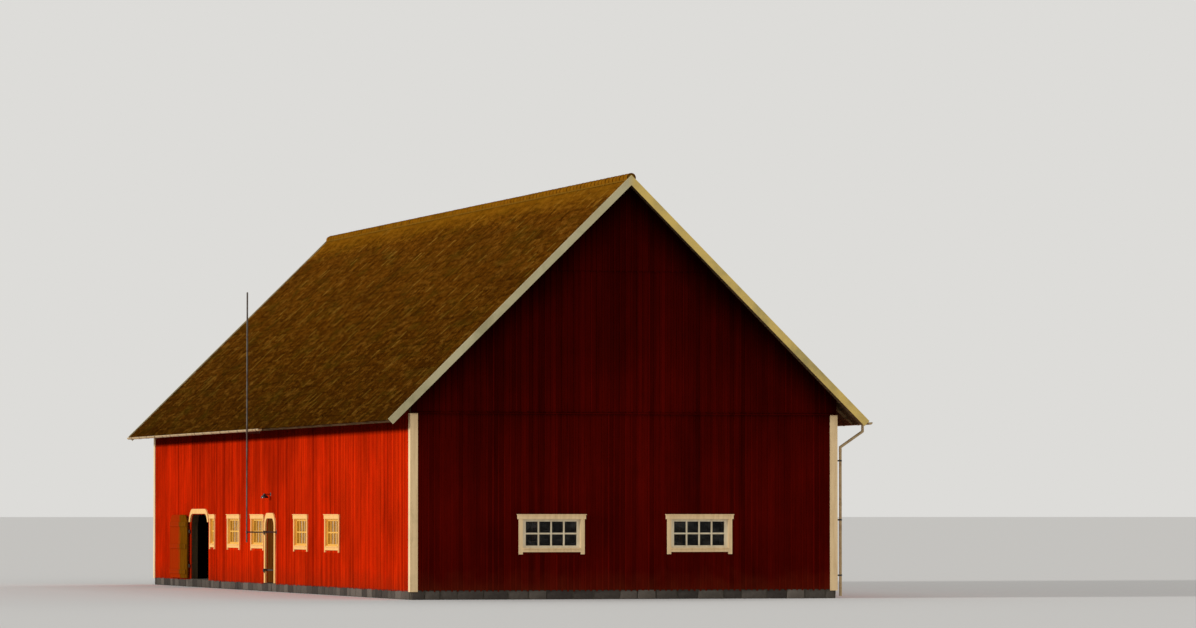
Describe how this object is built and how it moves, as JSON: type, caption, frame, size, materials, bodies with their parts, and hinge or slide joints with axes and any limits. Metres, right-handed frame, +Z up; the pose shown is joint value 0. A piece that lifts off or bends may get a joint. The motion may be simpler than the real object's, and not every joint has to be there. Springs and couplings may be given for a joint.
{
  "type": "traditional timber barn",
  "caption": "Long red timber barn with a steep tiled roof, white corner and barge boards, small-paned windows and hinged doors in its long side.",
  "frame": {"origin": "middle of the floor slab's underside, at ground level", "axes": "+Z up, +Y along the ridge towards the rear gable, front gable faces -Y, the long side with the doorways faces -X"},
  "size_m": [13.639, 36.3, 11.4],
  "materials": {
    "fieldstone": "rough split stone",
    "concrete": "worn concrete",
    "red_boards": "sawn boards with matt red distemper paint",
    "white_boards": "planed boards with weathered white oil paint",
    "white_sash": "white oil paint",
    "window_glass": "old window glass, dark inside",
    "frame_timber": "raw sawn timber, greyed",
    "roof_boarding": "raw boards, darkened",
    "clay_tile": "old fired clay with lichen",
    "door_boards": "tarred and weathered boards",
    "painted_sheet": "painted sheet steel, weathered",
    "iron_fittings": "forged iron, rusty",
    "lamp_enamel": "black enamel",
    "mast_steel": "galvanised steel tube, dull, with some rust"
  },
  "bodies": {
    "barn": {"foundation": "fieldstone", "floor_slab": "concrete", "west_wall_front": "red_boards", "west_wall_middle": "red_boards", "west_wall_rear": "red_boards", "west_wall_over_small_door": "red_boards", "west_wall_over_big_door": "red_boards", "east_wall": "red_boards", "front_wall": "red_boards", "rear_wall": "red_boards", "front_gable": "red_boards", "rear_gable": "red_boards", "drip_boards": "red_boards", "corner_boards": "white_boards", "wall_plates": "frame_timber", "tie_beams": "frame_timber", "west_rafters": "frame_timber", "east_rafters": "frame_timber", "collar_ties": "frame_timber", "rafter_tails": "frame_timber", "west_roof_deck": "roof_boarding", "east_roof_deck": "roof_boarding", "ridge_tiles": "clay_tile", "front_barge_boards": "white_boards", "rear_barge_boards": "white_boards", "west_window_casings": "white_boards", "west_window_sashes": "white_sash", "west_window_glass": "window_glass", "east_window_casings": "white_boards", "east_window_sashes": "white_sash", "east_window_glass": "window_glass", "gable_window_casings": "white_boards", "gable_window_sashes": "white_sash", "gable_window_glass": "window_glass", "big_door_head_trim": "white_boards", "big_door_pintles": "iron_fittings", "small_door_surround": "white_boards", "small_door_pintles": "iron_fittings", "wall_lamp": "lamp_enamel", "mast": "mast_steel", "mast_brackets": "mast_steel", "west_gutter": "painted_sheet", "east_gutter": "painted_sheet", "gutter_brackets": "iron_fittings", "downpipe": "painted_sheet", "downpipe_clips": "iron_fittings"},
    "big_leaf": {"big_door_leaf": "door_boards"},
    "small_leaf": {"small_door_leaf": "door_boards", "small_door_latch": "iron_fittings"}
  },
  "joints": [
    {"name": "big_door_hinge", "type": "hinge", "parent": "barn", "child": "big_leaf", "pos_m": [-5.96, 11.685, 1.25], "axis": [0, 0, 1], "range_deg": [0, 180]},
    {"name": "small_door_hinge", "type": "hinge", "parent": "barn", "child": "small_leaf", "pos_m": [-5.995, 0.49, 1.25], "axis": [0, 0, -1], "range_deg": [0, 165]}
  ]
}
